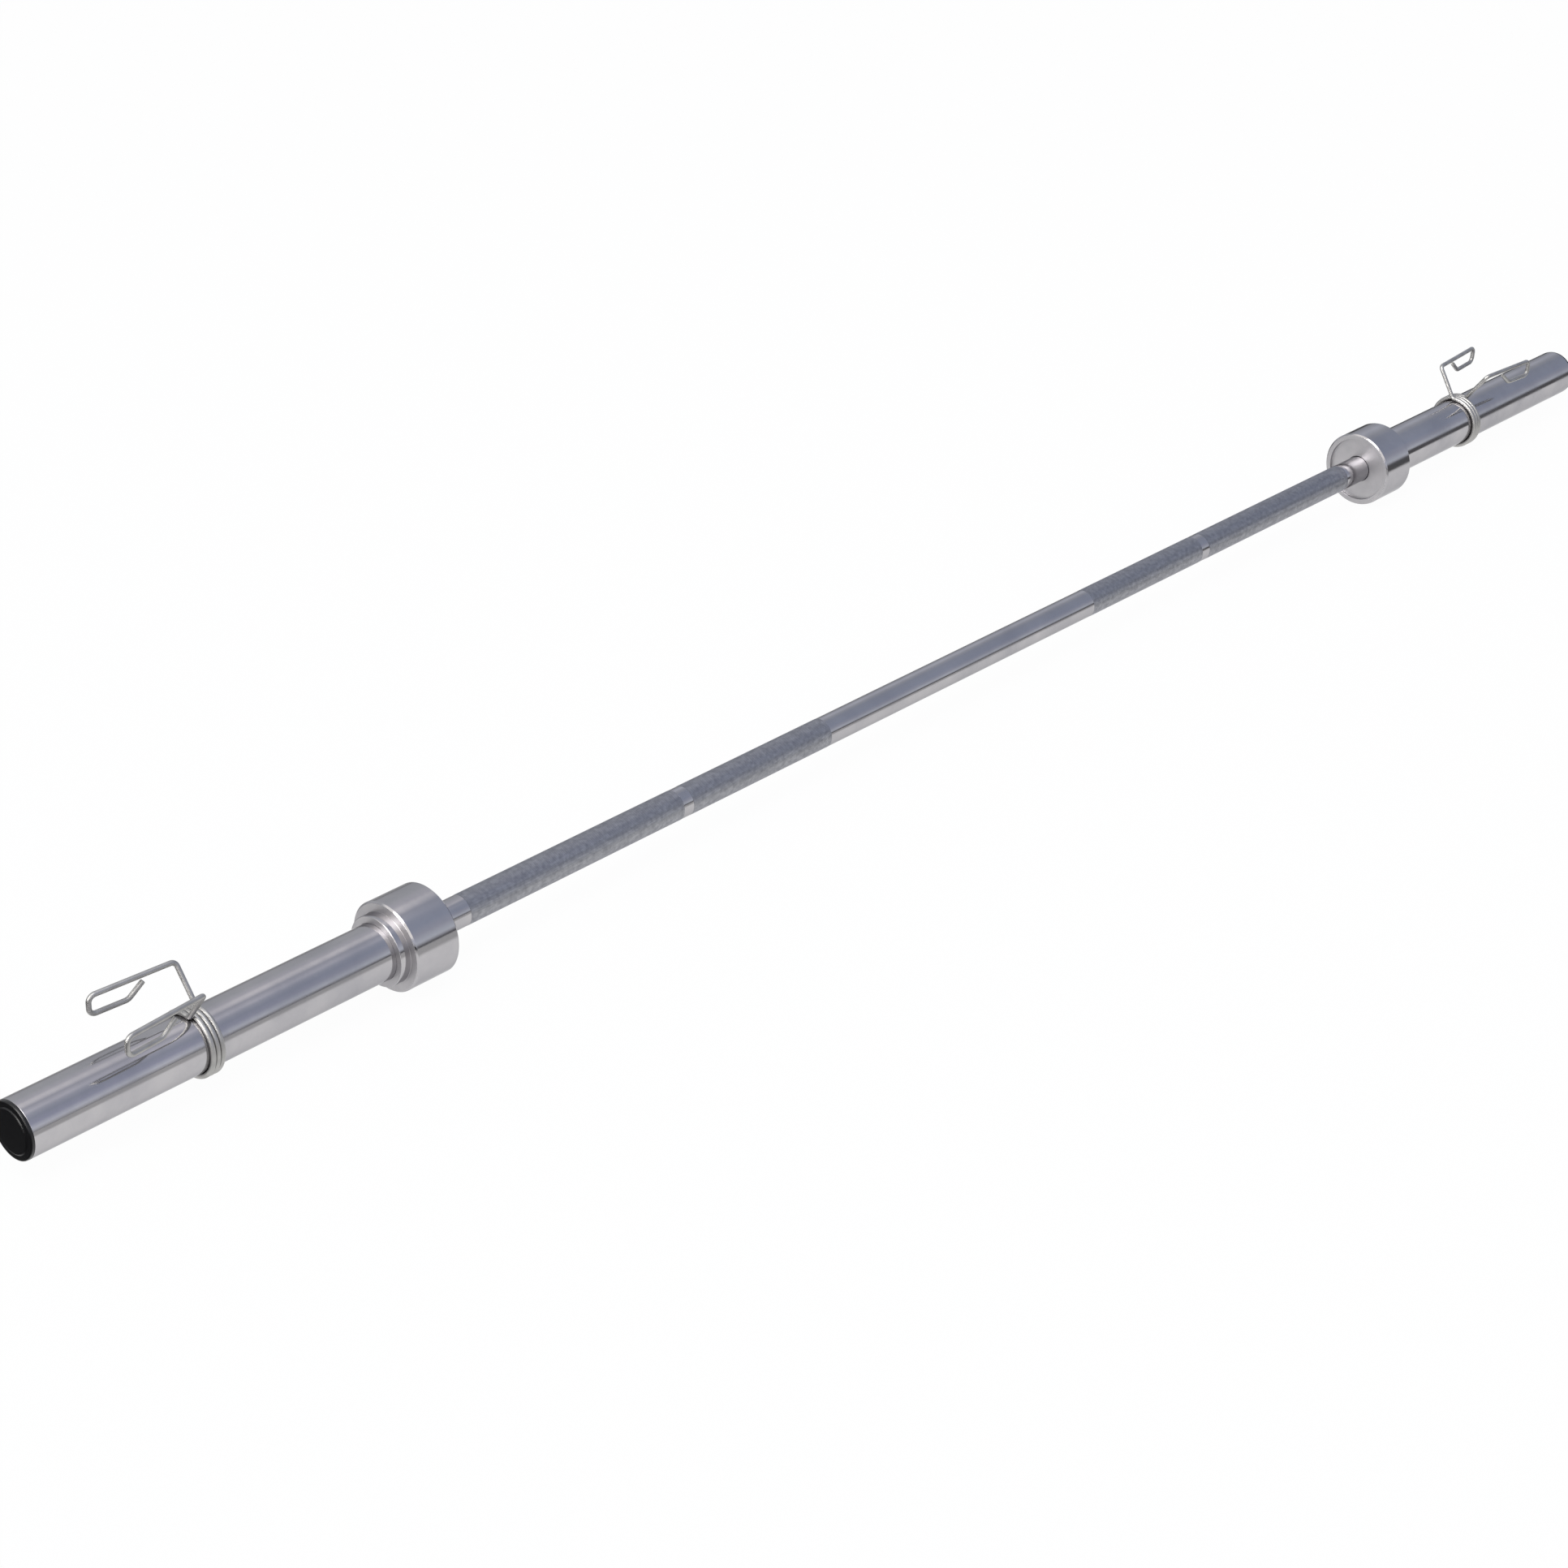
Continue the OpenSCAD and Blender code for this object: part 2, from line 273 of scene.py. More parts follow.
def ease_corners(piece: Piece, width: float) -> None:
    """Rounds a turned piece's corners and shades it smooth between them.

    Args:
        piece: The piece to finish.
        width: Width of the rounding at each corner.
    """
    apply_modifier(
        piece,
        "BEVEL",
        width=width,
        segments=CORNER_SEGMENTS,
        limit_method="ANGLE",
        angle_limit=CORNER_ANGLE,
    )
    bpy.ops.object.shade_smooth_by_angle(angle=TURNED_SMOOTH_ANGLE)
    apply_modifier(piece, "WEIGHTED_NORMAL", keep_sharp=True)


# Finishes


def linear(colour: str) -> tuple[float, float, float, float]:
    """Turns an sRGB hex colour to linear values.

    Args:
        colour: The colour as "#rrggbb".

    Returns:
        Linear red, green and blue, and an alpha of 1.
    """
    channels = [int(colour[i : i + 2], 16) / 255 for i in (1, 3, 5)]
    low_end = 0.04045
    red, green, blue = (
        c / 12.92 if c <= low_end else ((c + 0.055) / 1.055) ** 2.4 for c in channels
    )
    return red, green, blue, 1.0


def feed(node: Node, links: Mapping[str | int, Link]) -> None:
    """Links or sets a node's inputs.

    Args:
        node: The node.
        links: For each input its value, the output that feeds it, or a node whose first
            output does.
    """
    for name, source in links.items():
        if isinstance(source, Node):
            source = source.outputs[0]
        if isinstance(source, Socket):
            node.id_data.links.new(source, node.inputs[name])
        else:
            node.inputs[name].default_value = source


def add_node(
    tree: bpy.types.NodeTree,
    kind: str,
    links: Mapping[str | int, Link] | None = None,
    **settings: object,
) -> Node:
    """Adds a shader node with its settings and links.

    Args:
        tree: The node tree that gets the node.
        kind: Blender's name for the kind of node, without "ShaderNode".
        links: What feeds its inputs, as feed takes it.
        **settings: The node's own settings.

    Returns:
        The new node.
    """
    node = tree.nodes.new(f"ShaderNode{kind}")
    for name, value in settings.items():
        setattr(node, name, value)
    feed(node, links or {})
    return node


def set_ramp(node: Node, stops: Stops) -> None:
    """Gives a colour ramp its stops.

    Args:
        node: The colour ramp.
        stops: Each stop's place from 0 to 1 and its hex colour, in order.
    """
    elements = node.color_ramp.elements
    while len(elements) > 1:
        elements.remove(elements[-1])
    elements[0].position, elements[0].color = stops[0][0], linear(stops[0][1])
    for place, colour in stops[1:]:
        elements.new(place).color = linear(colour)


def blank_material(name: str) -> tuple[Material, AddNode, Node]:
    """Makes a material that holds nothing but its shader and output.

    Args:
        name: The material's name.

    Returns:
        The material, the function that adds a node to it, and its shader node.
    """
    material = bpy.data.materials.new(name)
    material.use_nodes = True
    tree = material.node_tree
    return material, partial(add_node, tree), tree.nodes["Principled BSDF"]


def clear_nodes(owner: Material | bpy.types.World) -> AddNode:
    """Empties the node tree of a material or a world.

    Args:
        owner: The material or the world.

    Returns:
        The function that adds a node to it.
    """
    owner.use_nodes = True
    owner.node_tree.nodes.clear()
    return partial(add_node, owner.node_tree)


def axis_distance(add: AddNode, parts: Node) -> Socket:
    """Measures how far a surface is from the bar's axis.

    Args:
        add: Adds a node to the tree.
        parts: The node that splits the surface's place into X, Y and Z.

    Returns:
        The output that holds the distance.
    """
    across = {axis: parts.outputs[axis] for axis in "YZ"}
    flat = add("CombineXYZ", across)
    return add("VectorMath", {0: flat}, operation="LENGTH").outputs["Value"]


@dataclass(frozen=True)
class HardChrome:
    """Bright chromium plated over ground and polished steel.

    To the eye it is a cool, slightly smoky mirror with crisp streaks along the bar,
    softened a little along its length by the rings that the polishing wheel left, and
    dulled in patches where hands and plates have touched it.
    """

    name: str = "polished_hard_chrome"
    bright: str = "#bbb9bb"
    smoky: str = "#abaaae"
    # Real polishing rings are about 0.05 mm apart; these are coarser so that they show.
    ring_pitch: float = 0.9 * MM
    ring_depth: float = 0.0025 * MM
    ring_detail: float = 2.0
    polish: float = 0.08
    smudge: float = 0.22
    smudge_size: float = 45 * MM
    smudge_detail: float = 5.0
    smudge_raggedness: float = 0.6
    # The chrome is clean where the patches' noise is below the first of these, and
    # fully smudged from the second.
    smudge_start: float = 0.35
    smudge_full: float = 0.75
    # Colour at a grazing angle, where real chromium stays a little darker than white.
    edge: str = "#d4d4d6"
    # A surface starts to count as an end face where its normal has the first of these
    # shares along the bar, and fully counts as one at the second.
    face_start: float = 0.8
    face_full: float = 0.98
    # End faces keep the rings of the lathe tool, which are deeper than polished ones.
    face_ring_pitch: float = 1.6 * MM
    face_ring_depth: float = 0.008 * MM
    face_ring_detail: float = 1.0
    face_dullness: float = 0.34

    def material(self) -> Material:
        """Makes the node material.

        Returns:
            The material.
        """
        material, add, shader = blank_material(self.name)
        surface = add("TexCoord").outputs
        on_face = self.find_faces(add, surface["Normal"])
        patches = add(
            "TexNoise",
            {
                "Vector": surface["Object"],
                "Scale": 1 / self.smudge_size,
                "Detail": self.smudge_detail,
                "Roughness": self.smudge_raggedness,
            },
        )
        dullness = add(
            "MapRange",
            {
                "Value": patches,
                "From Min": self.smudge_start,
                "From Max": self.smudge_full,
                "To Min": self.polish,
                "To Max": self.smudge,
            },
        )
        total_dullness = add(
            "Math",
            {0: on_face, 1: self.face_dullness, 2: dullness},
            operation="MULTIPLY_ADD",
        )
        tint = add("ValToRGB", {"Fac": patches})
        stops = [(self.smudge_start, self.bright), (self.smudge_full, self.smoky)]
        set_ramp(tint, stops)
        links = {
            "Metallic": 1.0,
            "Specular Tint": linear(self.edge),
            "Base Color": tint,
            "Roughness": total_dullness,
            "Normal": self.cut_rings(add, surface["Object"], on_face),
        }
        feed(shader, links)
        return material

    def find_faces(self, add: AddNode, normal: Socket) -> Node:
        """Tells end faces from barrels.

        Args:
            add: Adds a node to the tree.
            normal: The output that holds the surface's normal.

        Returns:
            A node that is 1 on end faces and 0 on barrels.
        """
        facing = add("SeparateXYZ", {"Vector": normal}).outputs["X"]
        endwise = add("Math", {0: facing}, operation="ABSOLUTE")
        edges = {"From Min": self.face_start, "From Max": self.face_full}
        return add("MapRange", {"Value": endwise, **edges})

    def cut_rings(self, add: AddNode, place: Socket, on_face: Node) -> Node:
        """Cuts the fine polishing rings, and the tool's coarser rings on end faces.

        Args:
            add: Adds a node to the tree.
            place: The output that holds the surface's place.
            on_face: The node that is 1 on end faces.

        Returns:
            The node with the cut surface's normal.
        """
        parts = add("SeparateXYZ", {"Vector": place})
        reach = axis_distance(add, parts)
        # Station plus radius runs along barrels and outwards on end faces, as rings do.
        along = add("Math", {0: parts.outputs["X"], 1: reach}, operation="ADD")
        normal: dict[str, Link] = {}
        for path, pitch, detail, depth, strength in (
            (along, self.ring_pitch, self.ring_detail, self.ring_depth, 1.0),
            (
                reach,
                self.face_ring_pitch,
                self.face_ring_detail,
                self.face_ring_depth,
                on_face,
            ),
        ):
            rings = add(
                "TexNoise",
                {"W": path, "Scale": 1 / pitch, "Detail": detail},
                noise_dimensions="1D",
            )
            relief = {"Height": rings, "Distance": depth, "Strength": strength}
            cut = add("Bump", relief | normal)
            normal = {"Normal": cut}
        return cut


@dataclass(frozen=True)
class KnurledChrome:
    """Chromium plating over diamond knurling rolled into the steel.

    To the eye it is a dull, grainy band. Its colour holds painted shade: it is painted
    darker towards the grooves and lighter on the points, and stains darken it in
    patches.
    """

    name: str = "knurled_hard_chrome"
    # Painted shade: the grooves are painted this darker colour, the points the lighter
    # one.
    groove_shade: str = "#7a7b81"
    point: str = "#c2c3c7"
    groove_shade_radius: float = 13.97 * MM
    point_radius: float = 14.1 * MM
    # Share of the rise from the grooves to the points at which the painted shade ends
    # and the metal is as bright as a point.
    bright_from: float = 0.6
    roughness_low: float = 0.24
    roughness_high: float = 0.36
    stain_size: float = 4 * MM
    stain_detail: float = 4.0
    # A stain is at its darkest where its noise is below the first of these, and ends at
    # the second. The darkest stains leave this share of the points' brightness.
    stain_start: float = 0.3
    stain_end: float = 0.7
    stained_share: float = 0.35
    # Colour at a grazing angle, where the points hide the bright sides of the grooves.
    edge: str = "#dcdce0"

    def material(self) -> Material:
        """Makes the node material.

        Returns:
            The material.
        """
        material, add, shader = blank_material(self.name)
        place = add("TexCoord").outputs["Object"]
        parts = add("SeparateXYZ", {"Vector": place})
        # Painted shade: 0 deep in the grooves, where the colour is darkest, and 1 on
        # the points.
        height = add(
            "MapRange",
            {
                "Value": axis_distance(add, parts),
                "From Min": self.groove_shade_radius,
                "From Max": self.point_radius,
            },
        )
        pattern = {"Scale": 1 / self.stain_size, "Detail": self.stain_detail}
        stains = add("TexNoise", {"Vector": place, **pattern})
        clean = add(
            "MapRange",
            {
                "Value": stains,
                "From Min": self.stain_start,
                "From Max": self.stain_end,
                "To Min": self.stained_share,
            },
        )
        # The painted shade times the real stains picks the colour.
        shade_and_stains = add("Math", {0: height, 1: clean}, operation="MULTIPLY")
        tint = add("ValToRGB", {"Fac": shade_and_stains})
        set_ramp(tint, [(0.0, self.groove_shade), (self.bright_from, self.point)])
        dullness = add(
            "MapRange",
            {
                "Value": stains,
                "To Min": self.roughness_high,
                "To Max": self.roughness_low,
            },
        )
        links = {
            "Metallic": 1.0,
            "Specular Tint": linear(self.edge),
            "Base Color": tint,
            "Roughness": dullness,
        }
        feed(shader, links)
        return material


@dataclass(frozen=True)
class GrainedFinish:
    """A surface whose grain is the same in every direction, as on moulded parts.

    Two colours and two roughnesses follow one noise, and a finer one gives the relief.
    """

    name: str
    light: str
    dark: str
    metallic: float
    roughness_low: float
    roughness_high: float
    patch_size: float
    grain_size: float
    grain_depth: float
    patch_detail: float = 4.0
    grain_detail: float = 3.0
    # The surface is light where the patches' noise is below the first of these, and
    # dark from the second.
    light_end: float = 0.35
    dark_start: float = 0.7

    def material(self) -> Material:
        """Makes the node material.

        Returns:
            The material.
        """
        material, add, shader = blank_material(self.name)
        place = add("TexCoord").outputs["Object"]
        patches, grain = (
            add("TexNoise", {"Vector": place, "Scale": 1 / size, "Detail": detail})
            for size, detail in (
                (self.patch_size, self.patch_detail),
                (self.grain_size, self.grain_detail),
            )
        )
        tint = add("ValToRGB", {"Fac": patches})
        set_ramp(tint, [(self.light_end, self.light), (self.dark_start, self.dark)])
        dullness = add(
            "MapRange",
            {
                "Value": patches,
                "To Min": self.roughness_low,
                "To Max": self.roughness_high,
            },
        )
        relief = {"Height": grain, "Distance": self.grain_depth, "Strength": 1.0}
        links = {
            "Metallic": self.metallic,
            "Base Color": tint,
            "Roughness": dullness,
            "Normal": add("Bump", relief),
        }
        feed(shader, links)
        return material


# Zinc-plated music wire, drawn and coiled cold: a soft grey shine with faint clouding.
PLATED_WIRE = GrainedFinish(
    name="zinc_plated_spring_wire",
    light="#b6b5b3",
    dark="#a5a4a2",
    metallic=1.0,
    roughness_low=0.4,
    roughness_high=0.5,
    patch_size=12 * MM,
    grain_size=0.6 * MM,
    grain_depth=0.002 * MM,
)

# Injection-moulded black ABS: a soft sheen broken by a fine spark-eroded grain.
MOULDED_ABS = GrainedFinish(
    name="moulded_black_abs",
    light="#101011",
    dark="#0b0b0c",
    metallic=0.0,
    roughness_low=0.26,
    roughness_high=0.38,
    patch_size=20 * MM,
    grain_size=0.5 * MM,
    grain_depth=0.008 * MM,
)

# Oil-filled sintered bronze: brown-gold, matt and finely pored.
SINTERED_BRONZE = GrainedFinish(
    name="sintered_bronze",
    light="#b48c55",
    dark="#8c6a3c",
    metallic=1.0,
    roughness_low=0.42,
    roughness_high=0.6,
    patch_size=8 * MM,
    grain_size=0.35 * MM,
    grain_depth=0.03 * MM,
)

# Ground washer steel: even grey with a fine satin grain.
GROUND_STEEL = GrainedFinish(
    name="ground_washer_steel",
    light="#a2a3a5",
    dark="#8d8e90",
    metallic=1.0,
    roughness_low=0.28,
    roughness_high=0.42,
    patch_size=6 * MM,
    grain_size=0.4 * MM,
    grain_depth=0.008 * MM,
)

# Phosphated and oiled snap-ring steel: near black with a greasy shine.
PHOSPHATED_STEEL = GrainedFinish(
    name="phosphated_snap_ring_steel",
    light="#3a3b3e",
    dark="#242527",
    metallic=1.0,
    roughness_low=0.3,
    roughness_high=0.45,
    patch_size=5 * MM,
    grain_size=0.3 * MM,
    grain_depth=0.01 * MM,
)


@dataclass
class Finishes:
    """The materials of the whole bar, each made once."""

    chrome: Material = field(default_factory=lambda: HardChrome().material())
    knurl: Material = field(default_factory=lambda: KnurledChrome().material())
    wire: Material = field(default_factory=PLATED_WIRE.material)
    plastic: Material = field(default_factory=MOULDED_ABS.material)
    bronze: Material = field(default_factory=SINTERED_BRONZE.material)
    washer: Material = field(default_factory=GROUND_STEEL.material)
    snap_ring: Material = field(default_factory=PHOSPHATED_STEEL.material)


def cover(piece: Piece, material: Material) -> None:
    """Gives all of a piece one material."""
    piece.data.materials.clear()
    piece.data.materials.append(material)


def dress(piece: Piece, material: Material, stands_for: str) -> None:
    """Gives a finished piece its material and hides the CAD node that it stands for.

    Args:
        piece: The piece to dress.
        material: The material for all of it.
        stands_for: The CAD node that the piece replaces.
    """
    cover(piece, material)
    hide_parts(stands_for)


# Shaft


@dataclass(frozen=True)
class KnurlBand:
    """One knurled band on the right half of the shaft."""

    label: str
    start: float
    end: float
    # The band is cut into first_cut parts and each of those into second_cut rows.
    first_cut: int
    second_cut: int

    @property
    def rows(self) -> int:
        """Number of rows of points along the band."""
        return self.first_cut * self.second_cut


@dataclass
class Shaft:
    """The one-piece shaft: smooth middle, four knurled bands, necks and journals."""

    radius: float = 14.0 * MM
    journal_radius: float = 12.5 * MM
    groove_shade_radius: float = 11.5 * MM
    core_radius: float = 13.8 * MM
    core_step: float = 0.2 * MM
    shoulder: float = 694 * MM
    groove_shade_start: float = 1073.5 * MM
    groove_shade_end: float = 1075 * MM
    journal_end: float = 1080 * MM
    end_bevel: float = 0.5 * MM
    corner: float = 0.15 * MM
    segments: int = 128
    knurl_columns: int = 160
    knurl_rise: float = 0.08 * MM
    knurl_press: float = 0.02 * MM
    bands: tuple[KnurlBand, ...] = (
        KnurlBand("inner_knurl", 197 * MM, 380 * MM, first_cut=2, second_cut=97),
        KnurlBand("outer_knurl", 392 * MM, 647 * MM, first_cut=3, second_cut=90),
    )

    def right_half(self) -> list[tuple[float, float]]:
        """Gives the outline of the right half, from the middle to the journal's end.

        Returns:
            Corners as (radius, station).
        """
        outline = []
        for band in self.bands:
            outline += [
                (self.radius, band.start),
                (self.core_radius, band.start + self.core_step),
                (self.core_radius, band.end - self.core_step),
                (self.radius, band.end),
            ]
        return [
            *outline,
            (self.radius, self.shoulder - self.end_bevel),
            (self.radius - self.end_bevel, self.shoulder),
            (self.journal_radius, self.shoulder),
            (self.journal_radius, self.groove_shade_start),
            (self.groove_shade_radius, self.groove_shade_start),
            (self.groove_shade_radius, self.groove_shade_end),
            (self.journal_radius, self.groove_shade_end),
            (self.journal_radius, self.journal_end - self.end_bevel),
            (self.journal_radius - self.end_bevel, self.journal_end),
        ]

    def turn_core(self) -> Piece:
        """Turns the smooth shaft, which runs on under the knurled bands.

        Returns:
            The shaft's core.
        """
        right = self.right_half()
        left = [(radius, -station) for radius, station in reversed(right)]
        return turn_on_lathe("shaft_core", [*left, *right], self.segments, hollow=False)

    def roll_band(self, band: KnurlBand) -> Piece:
        """Rolls one band of diamond knurling.

        Every second vertex of a fine grid is lifted and the others are pressed in. The
        faces are split between the low ones, so that each lifted vertex is the point of
        a four-sided diamond.

        Args:
            band: The band's place and number of rows.

        Returns:
            The band on the right half of the shaft.
        """
        put_down_tools()
        bpy.ops.mesh.primitive_cylinder_add(
            vertices=self.knurl_columns,
            radius=self.radius,
            depth=band.end - band.start,
            end_fill_type="NOTHING",
            location=((band.start + band.end) / 2, 0, 0),
            rotation=ALONG_BAR,
        )
        piece = settle(Side.RIGHT.named(band.label))
        for cut in (band.first_cut, band.second_cut):
            self.cut_lengthwise(piece, cut)
        places = vertex_places(piece)
        row_length = (band.end - band.start) / band.rows
        row = np.rint((places[:, 0] - band.start) / row_length).astype(int)
        angle = np.arctan2(places[:, 2], places[:, 1]) / FULL_TURN
        column = np.rint(angle * self.knurl_columns).astype(int)
        inside = (row > 0) & (row < band.rows)
        lifted = inside & ((row + column) % 2 == 0)
        pressed = inside & ((row + column) % 2 == 1)
        for wanted, radius in (
            (lifted, self.radius + self.knurl_rise),
            (pressed, self.radius - self.knurl_press),
        ):
            with editing(piece, wanted):
                widen(radius / self.radius)
        close_and_face_outwards(piece)
        with editing(piece):
            bpy.ops.mesh.quads_convert_to_tris(quad_method="SHORTEST_DIAGONAL")
        return piece

    @staticmethod
    def cut_lengthwise(piece: Piece, parts: int) -> None:
        """Cuts every lengthwise edge of a tube into equal parts.

        Args:
            piece: The tube.
            parts: Number of parts that each edge becomes.
        """
        pick_up(piece)
        mesh = piece.data
        places = vertex_places(piece)
        ends = np.empty(len(mesh.edges) * 2, int)
        mesh.edges.foreach_get("vertices", ends)
        span = places[ends.reshape(-1, 2)][:, :, 0]
        lengthwise = np.abs(span[:, 0] - span[:, 1]) > MERGE_DISTANCE
        for elements in (mesh.vertices, mesh.polygons):
            elements.foreach_set("select", np.zeros(len(elements), bool))
        mesh.edges.foreach_set("select", lengthwise)
        bpy.context.tool_settings.mesh_select_mode = (False, True, False)
        bpy.ops.object.mode_set(mode="EDIT")
        bpy.ops.mesh.subdivide(number_cuts=parts - 1)
        bpy.ops.object.mode_set(mode="OBJECT")

    def build(self, finishes: Finishes) -> list[Piece]:
        """Models, dresses and mounts the shaft.

        Args:
            finishes: The bar's materials.

        Returns:
            The shaft's pieces.
        """
        core = self.turn_core()
        ease_corners(core, self.corner)
        dress(core, finishes.chrome, "bar_shaft")
        pieces = [core]
        for band in self.bands:
            right = self.roll_band(band)
            left = mirrored_copy(right, Side.LEFT.named(band.label))
            for piece in (right, left):
                dress(piece, finishes.knurl, "bar_shaft")
                pieces.append(piece)
        for piece in pieces:
            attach(piece, "bar")
        return pieces


# Sleeves


@dataclass
class Sleeve:
    """A rotating sleeve: tube, stop collar and end cap."""

    radius: float = 25.0 * MM
    start: float = 690 * MM
    end: float = 1096 * MM
    seat_radius: float = 17.07 * MM
    middle_radius: float = 16.07 * MM
    inner_seat_end: float = 736.3 * MM
    outer_seat_start: float = 1031.2 * MM
    collar_radius: float = 40.0 * MM
    collar_face: float = 684 * MM
    collar_bevel: float = 1.5 * MM
    collar_seat_gap: float = 0.02 * MM
    recess_radius: float = 34.0 * MM
    recess_floor: float = 687 * MM
    lip_radius: float = 14.35 * MM
    rim_end: float = 730 * MM
    hub_radius: float = 31.25 * MM
    hub_end: float = 740 * MM
    hub_bevel: float = 0.5 * MM
    cap_radius: float = 24.8 * MM
    cap_face: float = 1100 * MM
    cap_round: float = 1.5 * MM
    cap_round_segments: int = 6
    cap_rim_width: float = 5.0 * MM
    cap_step: float = 0.9 * MM
    cap_shoulder: float = 1.3 * MM
    plug_radius: float = 16.97 * MM
    plug_wall: float = 3.0 * MM
    plug_start: float = 1084 * MM
    corner: float = 0.25 * MM
    segments: int = 144

    def turn_tube(self) -> Piece:
        """Turns the tube that the plates slide on, with its bushing seats.

        Returns:
            The right-hand tube.
        """
        outline = [
            (self.seat_radius, self.start),
            (self.radius, self.start),
            (self.radius, self.end),
            (self.seat_radius, self.end),
            (self.seat_radius, self.outer_seat_start),
            (self.middle_radius, self.outer_seat_start),
            (self.middle_radius, self.inner_seat_end),
            (self.seat_radius, self.inner_seat_end),
        ]
        return turn_on_lathe("right_tube", outline, self.segments, hollow=True)

    def turn_collar(self) -> Piece:
        """Turns the stop collar: a wide rim, a recessed inner face and a stepped hub.

        Returns:
            The right-hand collar.
        """
        bore = self.radius + self.collar_seat_gap
        outline = [
            (self.recess_radius, self.collar_face),
            (self.collar_radius - self.collar_bevel, self.collar_face),
            (self.collar_radius, self.collar_face + self.collar_bevel),
            (self.collar_radius, self.rim_end - self.collar_bevel),
            (self.collar_radius - self.collar_bevel, self.rim_end),
            (self.hub_radius, self.rim_end),
            (self.hub_radius, self.hub_end - self.hub_bevel),
            (self.hub_radius - self.hub_bevel, self.hub_end),
            (bore, self.hub_end),
            (bore, self.start),
            (self.lip_radius, self.start),
            (self.lip_radius, self.recess_floor),
            (self.recess_radius, self.recess_floor),
        ]
        return turn_on_lathe("right_collar", outline, self.segments, hollow=True)

    def mould_cap(self) -> Piece:
        """Models the end cap: a round-edged flange, a raised middle and a hollow plug.

        Returns:
            The right-hand cap.
        """
        put_down_tools()
        flange_face = self.cap_face - self.cap_step
        thickness = flange_face - self.end
        bpy.ops.mesh.primitive_cylinder_add(
            vertices=self.segments,
            radius=self.cap_radius,
            depth=thickness,
            location=(self.end + thickness / 2, 0, 0),
            rotation=ALONG_BAR,
        )
        cap = settle("right_cap")
        with editing(cap, vertex_places(cap)[:, 0] > flange_face - MERGE_DISTANCE):
            bpy.ops.mesh.bevel(
                offset=self.cap_round, segments=self.cap_round_segments, affect="EDGES"
            )
        self.raise_middle(cap, flange_face)
        self.draw_plug(cap)
        close_and_face_outwards(cap)
        return cap

    def raise_middle(self, cap: Piece, flange_face: float) -> None:
        """Raises the middle of the cap out of its flange, with a sloping shoulder.

        Args:
            cap: The cap.
            flange_face: Where the flange's outer face lies along X.
        """
        with editing(cap, vertex_places(cap)[:, 0] > flange_face - MERGE_DISTANCE):
            bpy.ops.mesh.inset(thickness=self.cap_rim_width - self.cap_round, depth=0)
            bpy.ops.mesh.inset(thickness=self.cap_shoulder, depth=self.cap_step)

    def draw_plug(self, cap: Piece) -> None:
        """Draws the hollow plug out of the cap's inner face.

        Args:
            cap: The cap.
        """
        length = self.end - self.plug_start
        with editing(cap, vertex_places(cap)[:, 0] < self.end + MERGE_DISTANCE):
            bpy.ops.mesh.inset(thickness=self.cap_radius - self.plug_radius, depth=0)
            extrude((-length, 0, 0))
            bpy.ops.mesh.inset(thickness=self.plug_wall, depth=0)
            extrude((length, 0, 0))

    def build(self, finishes: Finishes) -> list[Piece]:
        """Models, dresses and mounts both sleeves.

        Args:
            finishes: The bar's materials.

        Returns:
            The pieces of both sleeves.
        """
        chrome = (finishes.chrome, "sleeve_chrome")
        plastic = (finishes.plastic, "cap_plastic")
        models = (
            (self.turn_tube(), "tube", "sleeve_tube", *chrome),
            (self.turn_collar(), "collar", "stop_collar", *chrome),
            (self.mould_cap(), "cap", "end_cap", *plastic),
        )
        pieces = []
        for right, label, node, material, slot in models:
            left = mirrored_copy(right, Side.LEFT.named(label))
            for side, piece in ((Side.RIGHT, right), (Side.LEFT, left)):
                ease_corners(piece, self.corner)
                dress(piece, material, side.named(node))
                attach(piece, side.named("sleeve"))
                pieces.append(piece)
        return pieces


@dataclass
class BearingParts:
    """The bushings, washers and snap rings in the sleeves, in their CAD shapes."""

    def build(self, finishes: Finishes) -> list[Piece]:
        """Gives the CAD nodes inside both sleeves their materials.

        Args:
            finishes: The bar's materials.

        Returns:
            The nodes that were dressed.
        """
        wear = {
            "inner_bushing": finishes.bronze,
            "outer_bushing": finishes.bronze,
            "thrust_washer": finishes.washer,
            "end_washer": finishes.washer,
            "snap_ring": finishes.snap_ring,
        }
        pieces = []
        for side in Side:
            for label, material in wear.items():
                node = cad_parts[side.named(label)]
                cover(node, material)
                pieces.append(node)
        return pieces


# Spring clips


def around(station: float, radius: float, degrees: float) -> Vector:
    """Finds a point around the bar's axis.

    Args:
        station: Place along X.
        radius: Distance from the axis.
        degrees: Turn from upright towards the back.

    Returns:
        The point.
    """
    angle = math.radians(degrees)
    return Vector((station, radius * math.sin(angle), radius * math.cos(angle)))


